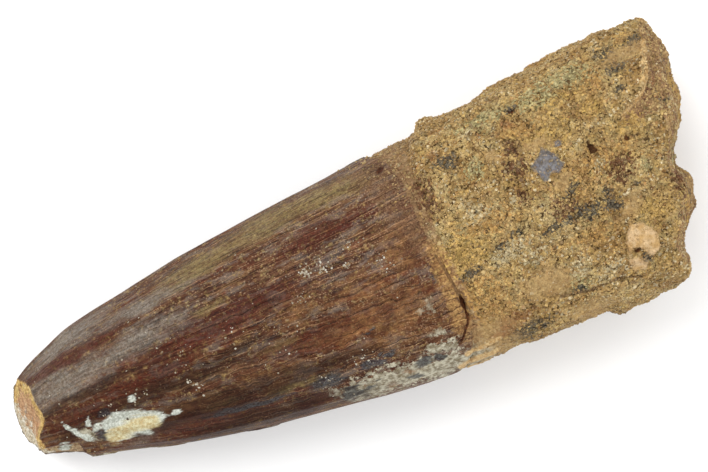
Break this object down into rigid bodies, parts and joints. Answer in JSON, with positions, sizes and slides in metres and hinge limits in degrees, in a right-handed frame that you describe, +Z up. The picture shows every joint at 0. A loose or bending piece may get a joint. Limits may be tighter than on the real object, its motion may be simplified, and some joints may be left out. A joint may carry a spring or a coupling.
{
  "type": "fossil spinosaurus tooth",
  "caption": "Fossil conical tooth lying on its side: fluted brown crown with a chipped, broken tip, and a root end under a crust of cemented sand with a rough break.",
  "frame": {"origin": "middle of the footprint's box, on the surface that the tooth lies on", "axes": "+X from the tip to the broken root end, +Y to the convex front edge, +Z up out of the side that shows in the picture"},
  "size_m": [0.0746, 0.0266, 0.0205],
  "materials": {
    "tooth": "brown fossil enamel with a satin sheen on the crown, matt tan cemented sand on the root"
  },
  "bodies": {
    "root": {"tooth": "tooth"}
  },
  "joints": []
}
